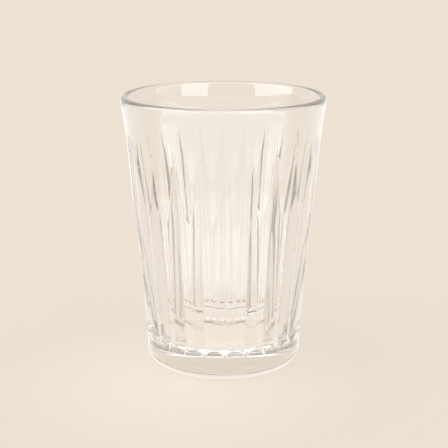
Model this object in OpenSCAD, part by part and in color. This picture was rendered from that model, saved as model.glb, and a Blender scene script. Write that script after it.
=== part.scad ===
// Small tapered tea glass, pressed in one piece: a plain band under the rim, upright flutes
// with swelling ribs between them down to a plain foot, and a thick base.
// The origin is the centre of the underside, on the surface that the glass stands on.
// +Z runs up the axis. The first flute faces -Y.

/* [Overall] */
// Height of the glass
glass_h = 90; // [70:1:130]
// Diameter across the rim
rim_d = 67; // [64:0.5:90]
// Thickness of the wall at the rim
rim_wall = 2.2; // [1.6:0.1:2.8]

/* [Outside] */
// Height of the plain band from the rim to the flutes
band_h = 12.5; // [6:0.5:20]
// How far the foot of the plain band lies inside the rim
band_in = 1.6; // [0.8:0.1:2.4]
// Diameter of the plain foot
base_d = 51.6; // [50:0.2:55]
// Height of the upright side of the foot
foot_h = 9; // [7.5:0.25:9.5]
// How far the round of the heel reaches in along the underside
heel_in = 2.6; // [1.6:0.1:4]
// How far the round of the heel reaches up the foot
heel_up = 4.5; // [3:0.25:6]

/* [Flutes] */
// Number of flutes round the wall
flute_n = 24; // [20:1:28]
// Depth of a flute below the wall once it runs level with it
flute_depth = 1.1; // [0.9:0.05:1.3]
// How far the ribs lie below the wall there
rib_sink = 0.15; // [0.1:0.05:0.3]
// Gap between the plain band and the tip of each flute
flute_gap = 1; // [0.5:0.25:3]
// Drop from the tip of a flute to where neighbouring flutes meet
meet_drop = 23; // [14:1:36]
// Angle between a rib's face and the wall where they meet, in degrees: small for a round rib
ridge_turn = 1; // [0.5:0.5:9]
// Height of the middle of the round over which a flute runs out on the foot
flute_end = 7.6; // [6.6:0.1:8.2]
// Radius of that round
end_r = 6; // [4.5:0.25:8]
// How far that round stands outside the foot
end_out = 0.05; // [0.03:0.01:0.15]

/* [Inside] */
// Thickness of the base at its middle, from the standing plane
floor_h = 10.2; // [6:0.2:14]
// Thickness of the wall at the base, from the ribs to the cavity
base_wall = 3.5; // [3:0.1:5]
// Radius of the round between the cavity's wall and its floor
floor_r = 3.5; // [2:0.25:8]

/* [Underside] */
// Width of the flat ring that the glass stands on
ring_w = 8.2; // [4:0.2:10]
// Depth of the hollow in the underside
punt_h = 0.5; // [0.3:0.05:2]

/* [Hidden] */
// Facets round the whole glass and round the smaller circles
turn_fn = 240;
arc_fn = 720;
// How far every cut runs past the face that it opens
overrun = 3;
// How much further the tool of a flute's end is turned than it cuts, in degrees
end_spare = 12;
// Turn that keeps the start of the heel's curve inside the glass, in degrees
seam_turn = 135;

// Point where a line from p touches the circle at c, on the left or the right of c as seen from p
function touch(c, r, p, side) =
    let (a = atan2(p[1] - c[1], p[0] - c[0]) + side * acos(r / norm(p - c)))
    c + r * [cos(a), sin(a)];

// Radius at height z on the straight line through two outline points
function on_line(p, q, z) = p[0] + (q[0] - p[0]) * (z - p[1]) / (q[1] - p[1]);

// Outline points are [radius, height]
lip_r = rim_wall / 2;
lip = [rim_d / 2 - lip_r, glass_h - lip_r];
band = [rim_d / 2 - band_in, glass_h - band_h];
foot = [base_d / 2, foot_h];
heel = [foot[0] - heel_in, heel_up];
half_step = 180 / flute_n;

// Heights and radii on the wall where a flute starts and where it meets its neighbours
tip = [on_line(foot, band, band[1] - flute_gap), band[1] - flute_gap];
meet = [on_line(foot, band, tip[1] - meet_drop), tip[1] - meet_drop];

// Slopes of the bottom line of a flute: first from its tip, then level with the wall
meet_depth = flute_depth - rib_sink;
deep_z = tip[1] - meet_drop * flute_depth / meet_depth;
deep = [on_line(foot, band, deep_z) - flute_depth, deep_z];
deep_low = [on_line(foot, band, 0) - flute_depth, 0];
tip_tilt = atan2(tip[0] - deep[0], tip[1] - deep[1]);
level_tilt = atan2(deep[0] - deep_low[0], deep[1] - deep_low[1]);

// Centre of the round over which a flute runs out on the foot, and how far that round turns
end_c = [foot[0] + end_out - end_r, flute_end];
end_off = (deep[0] - end_c[0]) * cos(level_tilt) - (deep[1] - end_c[1]) * sin(level_tilt);
end_turn = acos(end_off / end_r) - level_tilt;

// Section of a flute: two swelling rib faces that start at its bottom line and end on the wall
// where neighbouring flutes meet
face_run = meet[0] * sin(half_step);
face_rise = meet[0] * cos(half_step) - meet[0] + meet_depth;
face_chord = norm([face_rise, face_run]);
rib_face_r = face_chord / 2 / sin(atan(face_rise / face_run) + half_step - ridge_turn);
face_deep = sqrt(pow(rib_face_r, 2) - pow(face_chord / 2, 2));
face_c = [face_rise / 2 - face_deep * face_run / face_chord,
          face_run / 2 + face_deep * face_rise / face_chord];
flute_half_w = band[0] * sin(half_step);

// Cavity: its wall touches the inside of the lip and ends in a round at the floor
floor_edge = [foot[0] - base_wall, floor_h];
lip_out = touch(lip, lip_r, band, 1);
lip_in = touch(lip, lip_r, floor_edge, -1);
inside_a = atan2(lip_in[0] - floor_edge[0], lip_in[1] - floor_edge[1]);
floor_round = [on_line(floor_edge, lip_in, floor_h + floor_r) - floor_r / cos(inside_a), floor_h + floor_r];
floor_touch = floor_round + floor_r * [cos(inside_a), -sin(inside_a)];
cavity_top = [on_line(floor_edge, lip_in, glass_h + overrun), glass_h + overrun];
punt_half = heel[0] - ring_w;
punt_r = (pow(punt_half, 2) + pow(punt_h, 2)) / (2 * punt_h);

// Half outline of the blank, before the cavity and the underside are taken out
module blank_outline() {
    polygon([[0, 0], [heel[0], 0], [foot[0], heel[1]], foot, band, lip_out, lip_in, [0, lip_in[1]]]);
    translate(heel) scale([heel_in / heel_up, 1]) rotate(seam_turn) circle(r = heel_up, $fn = arc_fn);
    translate(lip) circle(r = lip_r, $fn = arc_fn);
}

// Half outline of the cavity
module cavity_outline() {
    polygon([[0, floor_h], [floor_round[0], floor_h], floor_touch, cavity_top, [0, cavity_top[1]]]);
    translate(floor_round) circle(r = floor_r, $fn = arc_fn);
}

// Half outline of the whole plain glass, right of the axis
module glass_outline() {
    difference() {
        blank_outline();
        cavity_outline();
        translate([0, punt_h - punt_r]) circle(r = punt_r, $fn = 2 * arc_fn);
        translate([-rim_d, -overrun]) square([rim_d, glass_h + 2 * overrun]);
    }
}

// Section that cuts one flute, with its bottom at the origin and opening along +X
module flute_section() {
    difference() {
        translate([-face_rise, -flute_half_w]) square([face_rise + overrun, 2 * flute_half_w]);
        for (side = [-1, 1])
            translate([face_c[0], side * face_c[1]]) circle(r = rib_face_r, $fn = arc_fn);
    }
}

// Straight tool with a flute's section, whose bottom line passes through p at a tilt outwards
module flute_bar(p, tilt) {
    reach = glass_h / cos(tilt);
    translate([p[0], 0, p[1]])
        rotate([0, tilt, 0])
            translate([0, 0, -reach])
                linear_extrude(height = 2 * reach)
                    flute_section();
}

// Tool that cuts one flute: it deepens from its tip, runs level with the wall, and comes out
// over a round at the foot
module flute_cut() {
    above_z = end_c[1] + end_r * sin(end_turn + end_spare);
    intersection() {
        flute_bar(deep, tip_tilt);
        flute_bar(deep, level_tilt);
        union() {
            translate([0, -rim_d, above_z]) cube([rim_d, 2 * rim_d, band[1] - above_z]);
            translate([end_c[0], 0, end_c[1]])
                rotate([90, 0, 0])
                    rotate_extrude(angle = end_turn + 2 * end_spare, $fn = arc_fn)
                        translate([end_r, 0]) flute_section();
        }
    }
}

// The whole glass, one piece of clear glass
module glass_tumbler() {
    color([0.84, 0.91, 0.89, 0.45])
        difference() {
            rotate_extrude($fn = turn_fn) glass_outline();
            for (i = [0 : flute_n - 1])
                rotate([0, 0, i * 360 / flute_n - 90]) flute_cut();
        }
}

glass_tumbler();
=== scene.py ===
# A small tea glass of clear pressed glass: plain band, upright flutes, rounded heel and thick base
import math
import bpy
import numpy as np
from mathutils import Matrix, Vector


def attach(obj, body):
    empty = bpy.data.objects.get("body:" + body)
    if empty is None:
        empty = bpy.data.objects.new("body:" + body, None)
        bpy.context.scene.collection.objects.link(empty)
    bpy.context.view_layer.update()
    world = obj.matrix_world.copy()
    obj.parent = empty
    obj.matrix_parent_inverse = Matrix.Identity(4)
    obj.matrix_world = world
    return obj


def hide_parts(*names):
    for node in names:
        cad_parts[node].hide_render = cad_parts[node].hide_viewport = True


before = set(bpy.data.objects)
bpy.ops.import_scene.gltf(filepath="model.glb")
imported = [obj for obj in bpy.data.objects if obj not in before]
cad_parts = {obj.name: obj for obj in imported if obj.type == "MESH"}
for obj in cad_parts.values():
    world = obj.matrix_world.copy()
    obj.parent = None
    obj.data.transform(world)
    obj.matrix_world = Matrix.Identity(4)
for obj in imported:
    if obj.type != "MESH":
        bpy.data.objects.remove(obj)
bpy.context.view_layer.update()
scene = bpy.context.scene
mm = 0.001

# Sizes of the glass in millimetres: those of the solid, but for a foot 0.1 mm further in, a rounder
# heel and flutes 0.15 mm deeper
glass = {
    "height": 90.0, "rimRadius": 33.5, "rimWall": 2.2,
    "bandHeight": 12.5, "bandRadius": 31.9,
    "baseRadius": 25.7, "heelRound": 4.5, "footHeight": 9.0,
    "flutes": 24, "fluteDepth": 1.25, "ribSink": 0.15, "fluteGap": 1.0, "meetDrop": 23.0,
    "ridgeTurn": 1.0,           # degrees between a rib's face and the wall where they meet
    "endHeight": 7.6, "endRound": 6.0, "endOut": 0.05,
    "floorHeight": 10.2, "floorRadius": 22.3, "floorRound": 3.5,
    "puntRadius": 15.0, "puntDepth": 0.5,
    "ridgeSoft": 0.04, "valleySoft": 0.12,    # how softly the fire-polished edges of the flutes turn
    "levelSoft": 0.02,          # how softly a flute turns level with the wall
    "endSoft": 0.03,            # and how softly it comes out at the foot
    "waveFlute": 0.05,          # unevenness from flute to flute
    "fluteWaves": ((2.4, 0.0, 0.6), (1.1, 2.0, 0.4)),    # pace, phase and share of each wave
    "waveInside": 0.05,         # unevenness left by the plunger
    "insideWaves": ((3, 0.05, 0.0, 0.5), (7, -0.08, 1.3, 0.3), (12, 0.11, 0.4, 0.2)),    # with a slope
    "calmFloor": 2.0, "calmFloorRun": 8.0,    # the waves start above the floor and grow over a run
    "calmRim": 4.0, "calmRimRun": 12.0,       # and die away below the rim
}

# How finely the outline and the flutes are divided
steps = {
    "under": 7, "ring": 2, "heel": 20, "foot": 10, "arch": 14, "level": 16, "taper": 24, "neck": 2,
    "band": 5, "lip": 15, "inside": 18, "corner": 11, "floor": 6,
    "archTop": 14.0,            # height up to which the rows follow the arches on the foot
    "levelSpare": 4.0,          # how far the rows of the taper start below where the flutes meet
    "flute": 9, "rib": 5,       # columns across half a flute and half a rib
    "crowding": 1.25,           # how strongly they crowd to the flute's bottom
    "underShare": 0.5, "leastShare": 0.12, "mostShare": 0.96,    # of half a pitch, for a flute's edge
    "trial": 200, "closing": 7,    # turns tried for that edge, and rounds that close in on a radius
    "arcShare": 0.98,           # share of a round's radius that a height or a reach may use
}


def tangentPoint(centre, radius, point, side):
    # where a line from the point touches the circle, on one side or the other
    away = np.subtract(point, centre)
    angle = math.atan2(away[1], away[0]) + side * math.acos(radius / np.hypot(*away))
    return np.add(centre, radius * np.array([math.cos(angle), math.sin(angle)]))


def angleOf(centre, point):
    return math.atan2(point[1] - centre[1], point[0] - centre[0])


def onLine(p, q, z):
    # radius at height z on the straight line through two points of the outline
    return p[0] + (q[0] - p[0]) * (z - p[1]) / (q[1] - p[1])


def arcPoints(centre, radius, start, end, count):
    # points along an arc, each the centre plus the radius turned through an even step
    turn = np.linspace(start, end, count)
    return np.stack([centre[0] + radius * np.cos(turn), centre[1] + radius * np.sin(turn)], 1)


def linePoints(p, q, count):
    # evenly spaced points from p to q, without p itself
    share = np.linspace(0, 1, count + 1)[1:, None]
    return np.asarray(p) * (1 - share) + np.asarray(q) * share


def softSmaller(a, b, soft):
    # the smaller of two radii, rounded off where they cross
    return (a + b) / 2 - np.sqrt(((a - b) / 2) ** 2 + soft ** 2) + soft * np.exp(-np.abs(a - b) / (4 * soft))


def fluteTip(g):
    # height of the tips of the flutes, under the plain band
    return g["height"] - g["bandHeight"] - g["fluteGap"]


def wallRadius(g, z):
    # straight from the foot of the plain band down to the upright foot of the glass
    foot = (g["baseRadius"], g["footHeight"])
    neck = (g["bandRadius"], g["height"] - g["bandHeight"])
    return onLine(foot, neck, np.asarray(z, dtype=float))


def fluteBottom(g, z):
    # the bottom line drops away from the tip, runs level with the wall, and comes out again over a
    # round that touches the foot where the flute ends
    taper = (g["fluteDepth"] - g["ribSink"]) * (fluteTip(g) - z) / g["meetDrop"]
    wall = wallRadius(g, z) - softSmaller(taper, g["fluteDepth"] + 0 * z, g["levelSoft"])
    most = g["endRound"] * steps["arcShare"]
    rise = np.clip(z - g["endHeight"], -most, most)
    drop = g["endRound"] - np.sqrt(g["endRound"] ** 2 - rise ** 2)
    foot = g["baseRadius"] + g["endOut"] - drop * np.sign(rise)
    return -softSmaller(-wall, -foot, g["endSoft"])


def faceCentre(g):
    # centre and radius of the round rib face beside a flute whose bottom line is at the origin: the
    # face ends on the wall where neighbouring flutes meet, nearly level with it
    half = math.pi / g["flutes"]
    meet = float(wallRadius(g, fluteTip(g) - g["meetDrop"]))
    run = meet * math.sin(half)
    rise = meet * math.cos(half) - (meet - g["fluteDepth"] + g["ribSink"])
    chord = math.hypot(run, rise)
    face = chord / 2 / math.sin(math.atan2(rise, run) + half - math.radians(g["ridgeTurn"]))
    deep = math.sqrt(face ** 2 - (chord / 2) ** 2)
    return rise / 2 - deep * run / chord, run / 2 + deep * rise / chord, face


def fluteRadius(g, z, turn, centre):
    # radius of the rib faces: the flute's bottom line plus the rise of the round face, measured
    # across the flute, and turned back into a radius by closing in on it
    bottom = fluteBottom(g, z)
    radius = bottom + 0 * turn
    for i in range(steps["closing"]):
        across = np.sqrt((radius * np.sin(turn)) ** 2 + g["valleySoft"] ** 2) - g["valleySoft"]
        reach = np.minimum(across - centre[1], centre[2] * steps["arcShare"])
        radius = (bottom + centre[0] + np.sqrt(centre[2] ** 2 - reach ** 2)) / np.cos(turn)
    return radius


def glassOutline(g):
    # half outline of the plain glass as radii and heights, from the middle of its underside round the
    # heel and over the lip to the middle of the cavity's floor, with the rows where the fluted
    # outside starts and ends and where the inside starts
    lipRadius = g["rimWall"] / 2
    lip = (g["rimRadius"] - lipRadius, g["height"] - lipRadius)
    neck = (g["bandRadius"], g["height"] - g["bandHeight"])
    heel = (g["baseRadius"] - g["heelRound"], g["heelRound"])
    floorEdge = (g["floorRadius"], g["floorHeight"])
    lipOut = tangentPoint(lip, lipRadius, neck, 1)
    lipIn = tangentPoint(lip, lipRadius, floorEdge, -1)
    lean = math.atan2(lipIn[0] - floorEdge[0], lipIn[1] - floorEdge[1])
    cornerHeight = g["floorHeight"] + g["floorRound"]
    corner = (onLine(floorEdge, lipIn, cornerHeight) - g["floorRound"] / math.cos(lean), cornerHeight)
    cornerTop = np.add(corner, g["floorRound"] * np.array([math.cos(lean), -math.sin(lean)]))
    puntBall = (g["puntRadius"] ** 2 + g["puntDepth"] ** 2) / (2 * g["puntDepth"])
    puntMiddle = (0, g["puntDepth"] - puntBall)
    puntAngle = math.asin(g["puntRadius"] / puntBall)
    down, up = -math.pi / 2, math.pi / 2

    under = arcPoints(puntMiddle, puntBall, up, up - puntAngle, steps["under"])[1:]
    ring = linePoints(under[-1], (heel[0], 0), steps["ring"])
    heelArc = arcPoints(heel, g["heelRound"], down, 0, steps["heel"])[1:]
    wall = linePoints(heelArc[-1], (g["baseRadius"], g["footHeight"]), steps["foot"])
    taperFoot = fluteTip(g) - g["meetDrop"] - steps["levelSpare"]
    for height, count in ((steps["archTop"], steps["arch"]), (taperFoot, steps["level"]),
                          (fluteTip(g), steps["taper"]), (neck[1], steps["neck"])):
        rising = linePoints(wall[-1], (float(wallRadius(g, height)), height), count)
        wall = np.concatenate([wall, rising])
    band = linePoints(neck, lipOut, steps["band"])
    lipArc = arcPoints(lip, lipRadius, angleOf(lip, lipOut), angleOf(lip, lipIn), steps["lip"])[1:]
    inner = linePoints(lipIn, cornerTop, steps["inside"])
    cornerArc = arcPoints(corner, g["floorRound"], -lean, down, steps["corner"])[1:]
    floor = linePoints(cornerArc[-1], (0, g["floorHeight"]), steps["floor"])[:-1]
    outline = np.concatenate([under, ring, heelArc, wall, band, lipArc, inner, cornerArc, floor])
    first = len(under) + len(ring)
    last = first + len(heelArc) + len(wall)
    return outline, first, last, last + len(band) + len(lipArc)


def columnTurns(g, outline, first, last, centre):
    # turns of the columns across one pitch, row by row: they crowd towards the bottom of the flute
    # and follow its edge up the wall
    half = math.pi / g["flutes"]
    trial = np.linspace(0, half, steps["trial"])[None, :]
    reach = fluteRadius(g, np.clip(outline[:, 1:], 0, fluteTip(g)), trial, centre)
    edge = np.array([np.interp(0, row, trial[0]) for row in reach - outline[:, :1]])
    edge[:first] = half * steps["underShare"]
    edge[last:] = half * steps["leastShare"]
    edge = np.clip(edge, half * steps["leastShare"], half * steps["mostShare"])[:, None]
    inFlute = edge * np.linspace(0, 1, steps["flute"] + 1)[None, :] ** steps["crowding"]
    onRib = edge + (half - edge) * np.linspace(0, 1, steps["rib"] + 1)[None, 1:]
    halfTurn = np.concatenate([inFlute, onRib], 1)
    return np.concatenate([-halfTurn[:, :0:-1], halfTurn[:, :-1]], 1)


def glassSurface(g):
    # the outline of the plain glass is carried round the axis, and the outside takes the smaller
    # of its radius and the radius of the rib faces
    outline, first, last, inside = glassOutline(g)
    half = math.pi / g["flutes"]
    centre = faceCentre(g)
    pitchTurn = columnTurns(g, outline, first, last, centre)
    count = pitchTurn.shape[1]
    index = np.arange(g["flutes"])
    local = np.tile(pitchTurn, (1, g["flutes"]))
    turn = local + np.repeat(index * 2 * half, count)[None, :]
    radius = outline[:, :1] + 0 * turn
    z = outline[:, 1:] + 0 * turn

    # each flute is a little deeper or shallower than the next
    uneven = sum(share * np.sin(index * pace + phase) for pace, phase, share in g["fluteWaves"])
    uneven = np.repeat(uneven * g["waveFlute"], count)[None, :]
    cut = fluteRadius(g, z[first:last], local[first:last], centre)
    cut = cut + uneven * np.cos(local[first:last] / half * math.pi / 2) ** 2
    radius[first:last] = softSmaller(radius[first:last], cut, g["ridgeSoft"])

    # long low waves left inside by the plunger
    wave = sum(share * np.sin(waves * turn + z * slope + phase)
               for waves, slope, phase, share in g["insideWaves"])
    low = np.clip((z - g["floorHeight"] - g["calmFloor"]) / g["calmFloorRun"], 0, 1)
    high = np.clip((g["height"] - g["calmRim"] - z) / g["calmRimRun"], 0, 1)
    radius[inside:] += (wave * (low * high) * g["waveInside"])[inside:]

    angle = turn - math.pi / 2
    points = np.stack([radius * np.cos(angle), radius * np.sin(angle), z], -1).reshape(-1, 3) * mm
    rows, cols = radius.shape
    grid = np.arange(rows * cols).reshape(rows, cols)
    right = np.roll(grid, -1, 1)
    quads = np.stack([grid[:-1], right[:-1], right[1:], grid[1:]], -1).reshape(-1, 4)
    bottom, top = rows * cols, rows * cols + 1
    poles = np.array([[0, 0, g["puntDepth"]], [0, 0, g["floorHeight"]]]) * mm
    lowFan = np.stack([np.full(cols, bottom), right[0], grid[0]], -1)
    highFan = np.stack([np.full(cols, top), grid[-1], right[-1]], -1)
    return np.concatenate([points, poles]), quads, np.concatenate([lowFan, highFan])


def addMesh(name, points, quads, triangles):
    mesh = bpy.data.meshes.new(name)
    mesh.from_pydata(points.tolist(), [], quads.tolist() + triangles.tolist())
    mesh.polygons.foreach_set("use_smooth", np.ones(len(mesh.polygons), dtype=bool))
    mesh.update()
    piece = bpy.data.objects.new(name, mesh)
    scene.collection.objects.link(piece)
    return piece


# Clear soda-lime glass with a faint green depth and a trace of handling on its surface
clearGlass = {
    "ior": 1.52, "tint": (1.0, 1.0, 1.0), "hazeTint": (0.99, 0.995, 0.993),
    "polish": 0.0, "smudge": 0.04,            # roughness where it is clean and where it is smudged
    "smudgeScale": 38.0, "smudgeDetail": 3.0, "smudgeFrom": 0.52, "smudgeTo": 0.85,
    "ripple": 0.06, "rippleScale": 55.0, "rippleDetail": 1.0,
    "rippleStretch": (1.0, 1.0, 0.25),        # ripples run up the glass
    "rippleHeight": 0.001,
    "depthColour": (0.62, 0.93, 0.86), "depthDensity": 0.5,
}


def glassMaterial(m):
    material = bpy.data.materials.new("clearPressedGlass")
    material.use_nodes = True
    tree = material.node_tree
    shader = tree.nodes["Principled BSDF"]
    shader.inputs["IOR"].default_value = m["ior"]
    shader.inputs["Transmission Weight"].default_value = 1.0
    shader.inputs["Metallic"].default_value = 0.0
    place = tree.nodes.new("ShaderNodeTexCoord")
    smudge = tree.nodes.new("ShaderNodeTexNoise")
    smudge.inputs["Scale"].default_value = m["smudgeScale"]
    smudge.inputs["Detail"].default_value = m["smudgeDetail"]
    tree.links.new(place.outputs["Object"], smudge.inputs["Vector"])
    spread = tree.nodes.new("ShaderNodeMapRange")
    spread.inputs["From Min"].default_value = m["smudgeFrom"]
    spread.inputs["From Max"].default_value = m["smudgeTo"]
    spread.inputs["To Min"].default_value = m["polish"]
    spread.inputs["To Max"].default_value = m["smudge"]
    tree.links.new(smudge.outputs["Fac"], spread.inputs["Value"])
    tree.links.new(spread.outputs["Result"], shader.inputs["Roughness"])
    colour = tree.nodes.new("ShaderNodeMix")
    colour.data_type = "RGBA"
    colour.inputs["A"].default_value = (*m["tint"], 1)
    colour.inputs["B"].default_value = (*m["hazeTint"], 1)
    tree.links.new(smudge.outputs["Fac"], colour.inputs["Factor"])
    tree.links.new(colour.outputs["Result"], shader.inputs["Base Color"])
    ripple = tree.nodes.new("ShaderNodeTexNoise")
    ripple.inputs["Scale"].default_value = m["rippleScale"]
    ripple.inputs["Detail"].default_value = m["rippleDetail"]
    stretch = tree.nodes.new("ShaderNodeMapping")
    stretch.inputs["Scale"].default_value = m["rippleStretch"]
    tree.links.new(place.outputs["Object"], stretch.inputs["Vector"])
    tree.links.new(stretch.outputs["Vector"], ripple.inputs["Vector"])
    bump = tree.nodes.new("ShaderNodeBump")
    bump.inputs["Strength"].default_value = m["ripple"]
    bump.inputs["Distance"].default_value = m["rippleHeight"]
    tree.links.new(ripple.outputs["Fac"], bump.inputs["Height"])
    tree.links.new(bump.outputs["Normal"], shader.inputs["Normal"])
    depth = tree.nodes.new("ShaderNodeVolumeAbsorption")
    depth.inputs["Color"].default_value = (*m["depthColour"], 1)
    depth.inputs["Density"].default_value = m["depthDensity"]
    tree.links.new(depth.outputs["Volume"], tree.nodes["Material Output"].inputs["Volume"])
    return material


print("glass: working out the surface")
tumbler = addMesh("teaGlass", *glassSurface(glass))
tumbler.data.materials.append(glassMaterial(clearGlass))
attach(tumbler, "root")
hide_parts("glass_tumbler")
print("glass:", len(tumbler.data.polygons), "faces")

# Pale seamless ground and the light round it, in metres. The clear wall shows little but the room,
# so the room tells rays apart by how often they were mirrored or met a surface
room = {
    "ground": (237, 225, 211), "groundSize": 20.0,
    "groundLevel": -0.00003,    # a hair under the standing ring
    "seenGlow": 0.8,            # share of a steady glow in what the eye sees of the lit ground
    "throughGlow": 0.9,         # the same for rays that come through the glass or off its outside
    "throughShade": 0.95, "underRadius": 0.05, "underLight": 0.22,    # painted shade on the ground seen through the glass, and a painted pool of light under it
    "haloCentre": (-0.013, -0.024), "haloRadius": 0.06, "haloLight": 0.16,    # and a painted pool of light in front of it
    "paintedReflectionLight": 1.4,           # painted reflection: how brightly the ground glows in what the outside of the glass mirrors
    "aheadLight": 3.0, "aheadFrom": -0.02, "aheadTo": -0.07,    # painted reflection card on the ground in front, for rays mirrored once
    "farLight": 1.4, "farFrom": -0.2, "farTo": -1.5,            # it dims with distance
    "sideColour": (1, 0.98, 0.95), "sideLight": 1.7, "sideBounces": 4,    # its painted glow after few surfaces
    # painted shade: the ground turns to a dim glow for rays that met more than eight surfaces
    "deepColour": (0.25, 0.21, 0.17), "deepLight": 0.6, "deepBounces": 8, "deepShade": 0.75,
    "skyLight": 0.95,           # plain white that lights the ground and the glass
    "wallColour": (1, 1, 0.99), "wallLight": 0.9,               # what the outside of the glass mirrors
    "levelColour": (1, 0.97, 0.93), "levelLight": 1.2, "levelBand": (0.35, 0.6),    # low in front
    "frontColour": (0.85, 0.66, 0.48), "frontLight": 0.35,      # the same for rays mirrored twice
    "aboveLight": 0.85,         # high in front
    "backColour": (0.74, 0.635, 0.53), "highLight": 1.6, "highBand": (0.48, 0.62),    # low, high behind
    "turnBand": (0.1, -0.1),    # where the room behind turns into the room in front
    "tiredBounces": 12, "tiredColour": (0.5, 0.4, 0.31),        # after many surfaces, on the left
    "darkColour": (0.06, 0.05, 0.04), "tiredBand": (0.1, 0.5),  # and on the right
    "sunShare": 0.08, "sunFrom": (-0.9, -0.25, 1.0), "sunAngle": 30.0,
    "bounceLimit": 64,          # light goes on through many walls of glass before it is given up
}


def toLinear(colour):
    # screen values 0 to 255 turned into light
    c = np.asarray(colour) / 255
    return [float(v) for v in np.where(c <= 0.04045, c / 12.92, ((c + 0.055) / 1.055) ** 2.4)]


def feed(tree, value, socket):
    # a number is set on the socket, an output is linked to it
    if isinstance(value, (int, float)):
        socket.default_value = value
    else:
        tree.links.new(value, socket)


def mathNode(tree, operation, *values):
    node = tree.nodes.new("ShaderNodeMath")
    node.operation = operation
    for value, socket in zip(values, node.inputs):
        feed(tree, value, socket)
    return node.outputs[0]


def mixNode(tree, amount, no, yes):
    node = tree.nodes.new("ShaderNodeMixShader")
    for value, socket in zip((amount, no, yes), node.inputs):
        feed(tree, value, socket)
    return node.outputs[0]


def glowNode(tree, kind, colour, strength):
    # a steady glow, Emission for a surface and Background for the world
    node = tree.nodes.new("ShaderNode" + kind)
    node.inputs["Color"].default_value = (*colour, 1)
    feed(tree, strength, node.inputs["Strength"])
    return node.outputs[0]


def easedNode(tree, value, start, end, low=0.0, high=1.0):
    # turns smoothly from low to high while the value goes from start to end
    node = tree.nodes.new("ShaderNodeMapRange")
    node.interpolation_type = "SMOOTHSTEP"
    node.inputs["From Min"].default_value = start
    node.inputs["From Max"].default_value = end
    node.inputs["To Min"].default_value = low
    node.inputs["To Max"].default_value = high
    tree.links.new(value, node.inputs["Value"])
    return node.outputs[0]


def afterBounces(tree, path, count, amount=1.0):
    # 0 for light that has met few surfaces, and the amount for light that has met more than the count
    return mathNode(tree, "MULTIPLY", mathNode(tree, "GREATER_THAN", path["Ray Depth"], count + 0.5), amount)


def mirrored(tree, path, times):
    # 1 for light that has been reflected at least so many times, 0 for the rest
    return mathNode(tree, "GREATER_THAN", path["Glossy Depth"], times - 0.5)


def placeParts(tree, coordinates):
    parts = tree.nodes.new("ShaderNodeSeparateXYZ")
    tree.links.new(coordinates, parts.inputs[0])
    return parts.outputs


def groundMaterial(r):
    material = bpy.data.materials.new("paleGround")
    material.use_nodes = True
    tree = material.node_tree
    tree.nodes.clear()
    path = tree.nodes.new("ShaderNodeLightPath").outputs
    place = tree.nodes.new("ShaderNodeTexCoord").outputs["Object"]
    ahead = placeParts(tree, place)["Y"]
    colour = toLinear(r["ground"])
    paperNode = tree.nodes.new("ShaderNodeBsdfDiffuse")
    paperNode.inputs["Color"].default_value = (*colour, 1)
    paper = paperNode.outputs[0]

    def glow(tone, strength):
        return glowNode(tree, "Emission", tone, strength)

    def paintedPool(strength, centre, radius, amount):
        # painted light: a steady glow on the ground, brighter round a point, a painted pool of light where
        # the glass gathers light
        shift = tree.nodes.new("ShaderNodeMapping")
        shift.inputs["Location"].default_value = [-c / radius for c in centre] + [0]
        shift.inputs["Scale"].default_value = (1 / radius, 1 / radius, 0)
        tree.links.new(place, shift.inputs["Vector"])
        spot = tree.nodes.new("ShaderNodeTexGradient")
        spot.gradient_type = "SPHERICAL"
        tree.links.new(shift.outputs["Vector"], spot.inputs["Vector"])
        return glow(colour, mathNode(tree, "MULTIPLY_ADD", spot.outputs["Fac"], amount, strength))

    # through the glass: the ground itself, with painted shade and a painted pool of light under the glass,
    # and painted shade after many surfaces
    paintedShadeAndPool = paintedPool(r["throughShade"], (0, 0), r["underRadius"], r["underLight"])
    plain = mixNode(tree, r["throughGlow"], paper, paintedShadeAndPool)
    # painted shade on the ground for rays that met many surfaces
    deep = afterBounces(tree, path, r["deepBounces"], r["deepShade"])
    plain = mixNode(tree, deep, plain, glow(r["deepColour"], r["deepLight"]))

    # mirrored once inside the glass: a painted reflection card, a glow painted on the ground in front of it
    paintedCard = glow((1, 1, 1), easedNode(tree, ahead, r["farFrom"], r["farTo"], r["aheadLight"], r["farLight"]))
    side = glow(r["sideColour"], r["sideLight"])
    paintedCard = mixNode(tree, afterBounces(tree, path, r["sideBounces"]), side, paintedCard)
    paintedCard = mixNode(tree, mirrored(tree, path, 2), paintedCard, plain)
    onPaintedCard = mathNode(tree, "MULTIPLY", easedNode(tree, ahead, r["aheadFrom"], r["aheadTo"]),
                      mirrored(tree, path, 1))
    inside = mixNode(tree, onPaintedCard, plain, paintedCard)

    # painted reflection: rays off the outside of the glass see the ground as a brighter white glow
    outside = mixNode(tree, r["throughGlow"], paper, glow((1, 1, 1), r["paintedReflectionLight"]))
    # painted pool of light on the ground in front of the glass, standing in for light the glass gathers
    # there
    paintedHalo = paintedPool(1.0, r["haloCentre"], r["haloRadius"], r["haloLight"])
    seen = mixNode(tree, path["Is Glossy Ray"], paper, outside)
    seen = mixNode(tree, path["Is Transmission Ray"], seen, inside)
    seen = mixNode(tree, path["Is Camera Ray"], seen, mixNode(tree, r["seenGlow"], paper, paintedHalo))
    out = tree.nodes.new("ShaderNodeOutputMaterial")
    tree.links.new(seen, out.inputs["Surface"])
    return material


def groundPlane(r):
    corners = [(x * r["groundSize"], y * r["groundSize"], r["groundLevel"])
               for x, y in ((-1, -1), (1, -1), (1, 1), (-1, 1))]
    mesh = bpy.data.meshes.new("ground")
    mesh.from_pydata(corners, [], [(0, 1, 2, 3)])
    mesh.materials.append(groundMaterial(r))
    plane = bpy.data.objects.new("ground", mesh)
    scene.collection.objects.link(plane)


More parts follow.
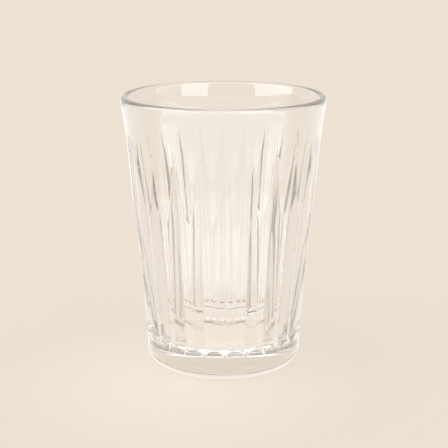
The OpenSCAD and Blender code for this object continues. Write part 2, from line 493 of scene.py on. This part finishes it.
def surroundings(r):
    # the eye, and rays that pass straight through the glass, see the colour of the ground all round;
    # rays mirrored inside the glass see a room, and everything else is lit by plain white
    world = bpy.data.worlds.new("room")
    scene.world = world
    world.use_nodes = True
    tree = world.node_tree
    tree.nodes.clear()
    path = tree.nodes.new("ShaderNodeLightPath").outputs
    parts = placeParts(tree, tree.nodes.new("ShaderNodeTexCoord").outputs["Generated"])
    colour = toLinear(r["ground"])

    def glow(tone, strength=1.0):
        return glowNode(tree, "Background", tone, strength)

    front = mixNode(tree, mirrored(tree, path, 2), glow(r["levelColour"], r["levelLight"]),
                    glow(r["frontColour"], r["frontLight"]))
    front = mixNode(tree, easedNode(tree, parts["Z"], *r["levelBand"]), front, glow(colour, r["aboveLight"]))
    back = mixNode(tree, easedNode(tree, parts["Z"], *r["highBand"]), glow(r["backColour"]),
                   glow((1, 1, 1), r["highLight"]))
    around = mixNode(tree, easedNode(tree, parts["Y"], *r["turnBand"]), back, front)
    tired = mixNode(tree, easedNode(tree, parts["X"], *r["tiredBand"]), glow(r["tiredColour"]),
                    glow(r["darkColour"]))
    around = mixNode(tree, afterBounces(tree, path, r["tiredBounces"]), around, tired)
    pale = glow(colour)
    inside = mixNode(tree, mirrored(tree, path, 1), pale, around)
    seen = mixNode(tree, path["Is Glossy Ray"], glow((1, 1, 1), r["skyLight"]),
                   glow(r["wallColour"], r["wallLight"]))
    seen = mixNode(tree, path["Is Transmission Ray"], seen, inside)
    seen = mixNode(tree, path["Is Camera Ray"], seen, pale)
    out = tree.nodes.new("ShaderNodeOutputWorld")
    tree.links.new(seen, out.inputs["Surface"])


def sunLamp(r):
    lamp = bpy.data.lights.new("sun", "SUN")
    sun = bpy.data.objects.new("sun", lamp)
    scene.collection.objects.link(sun)
    aim = Vector(r["sunFrom"]).normalized()
    sun.rotation_euler = aim.to_track_quat("Z", "Y").to_euler()
    lamp.angle = math.radians(r["sunAngle"])
    lamp.energy = r["sunShare"] * math.pi / aim.z


def directionOf(azimuth, elevation):
    # direction away from the glass, turned from its front and lifted, both in degrees
    turn, lift = math.radians(azimuth), math.radians(elevation)
    return Vector((math.sin(turn) * math.cos(lift), -math.cos(turn) * math.cos(lift), math.sin(lift)))


# Softboxes that only show as reflections, aimed at the rim: angles in degrees, the rest in metres
softboxes = {
    "rightBox": {"azimuth": 36, "elevation": 25, "distance": 1.2, "size": (0.78, 1.15), "strength": 3.9},
    "leftBox": {"azimuth": -69, "elevation": 25, "distance": 1.2, "size": (1.3, 1.15), "strength": 3.4},
}


def softbox(name, s):
    lamp = bpy.data.lights.new(name, "AREA")
    lamp.shape = "RECTANGLE"
    lamp.size, lamp.size_y = s["size"]
    lamp.energy = s["strength"] * s["size"][0] * s["size"][1] * math.pi
    box = bpy.data.objects.new(name, lamp)
    scene.collection.objects.link(box)
    away = directionOf(s["azimuth"], s["elevation"])
    box.location = away * s["distance"] + Vector((0, 0, glass["height"] * mm))
    box.rotation_euler = away.to_track_quat("Z", "Y").to_euler()
    box.visible_diffuse = False
    box.visible_transmission = False


groundPlane(room)
surroundings(room)
sunLamp(room)
for boxName, box in softboxes.items():
    softbox(boxName, box)
print("room: ground, sun and softboxes are in")

# Camera: turned about the glass and looking down at it. Angles are in degrees, the focal length and
# the width of the frame in pixels, and the rest in millimetres
view = {
    "azimuth": -1.0, "elevation": 14.4, "distance": 400.0,
    "targetAside": 0.19, "targetHeight": 46.4,
    "focal": 1197.0, "frameWidth": 448.0, "sensor": 36.0, "nearest": 10.0,
}


def addCamera(v):
    camera = bpy.data.cameras.new("camera")
    holder = bpy.data.objects.new("camera", camera)
    scene.collection.objects.link(holder)
    turn = math.radians(v["azimuth"])
    away = directionOf(v["azimuth"], v["elevation"])
    aside = Vector((math.cos(turn), math.sin(turn), 0)) * v["targetAside"]
    target = (aside + Vector((0, 0, v["targetHeight"]))) * mm
    holder.location = target + away * v["distance"] * mm
    holder.rotation_euler = away.to_track_quat("Z", "Y").to_euler()
    camera.sensor_width = v["sensor"]
    camera.lens = v["focal"] / v["frameWidth"] * v["sensor"]
    camera.clip_start = v["nearest"] * mm
    scene.camera = holder


addCamera(view)
scene.view_settings.view_transform = "Standard"
scene.cycles.max_bounces = room["bounceLimit"]
scene.cycles.transmission_bounces = room["bounceLimit"]
scene.cycles.glossy_bounces = room["bounceLimit"]
print("camera: set at", view["azimuth"], view["elevation"])
